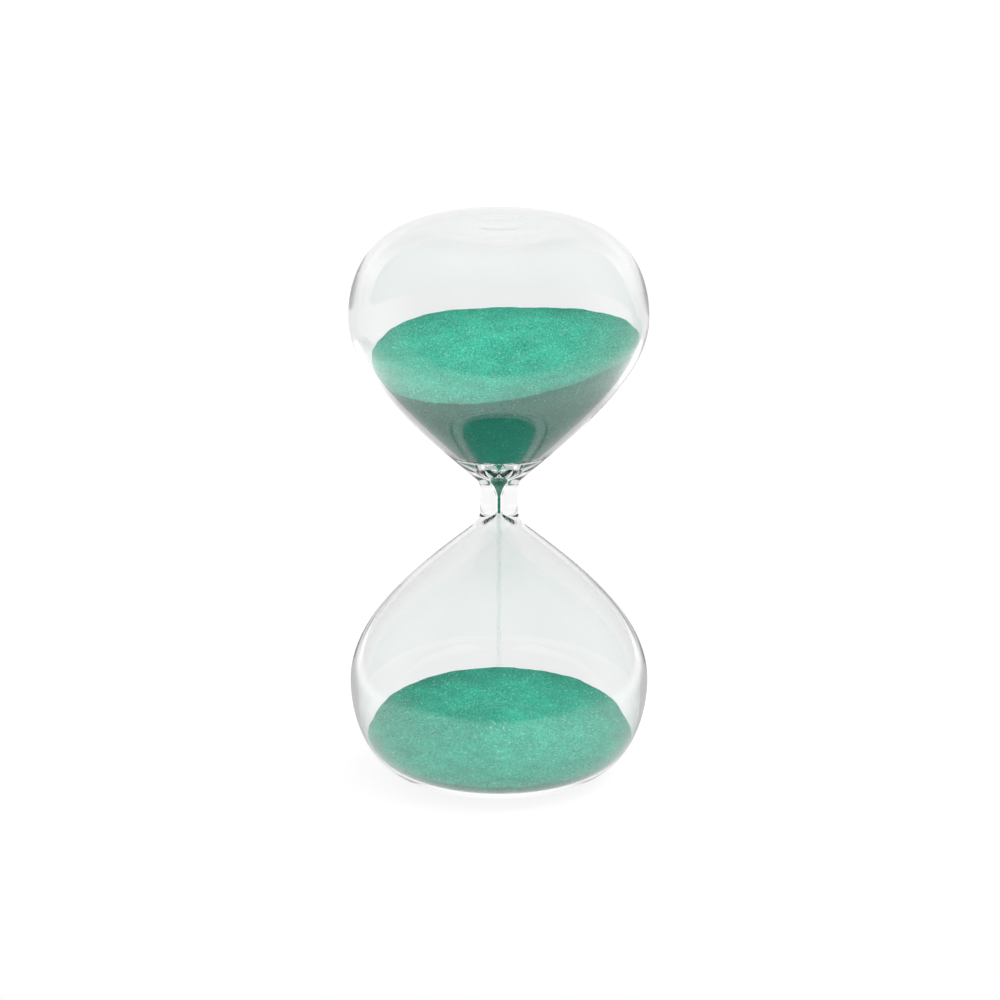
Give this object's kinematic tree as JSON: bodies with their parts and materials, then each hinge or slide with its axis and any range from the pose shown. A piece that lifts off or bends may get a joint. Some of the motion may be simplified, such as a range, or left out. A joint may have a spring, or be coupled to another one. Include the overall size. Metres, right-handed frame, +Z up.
{
  "type": "hourglass",
  "caption": "Frameless sand timer of clear blown glass: onion-shaped bulbs joined by a short thick neck, flat ends, green sand running from the upper bulb to the lower.",
  "frame": {"origin": "centre of the flat base that the timer stands on", "axes": "+Z up along the axis of the glass, +X to the right and -Y to the front, where the sand lies lowest"},
  "size_m": [0.0788, 0.0788, 0.15],
  "materials": {
    "clear_glass": "polished",
    "glitter_sand": "matte"
  },
  "bodies": {
    "root": {"upper_bulb": "clear_glass", "lower_bulb": "clear_glass", "neck_tube": "clear_glass", "fill_seal": "clear_glass", "upper_sand": "glitter_sand", "lower_sand": "glitter_sand", "sand_stream": "glitter_sand"}
  },
  "joints": []
}
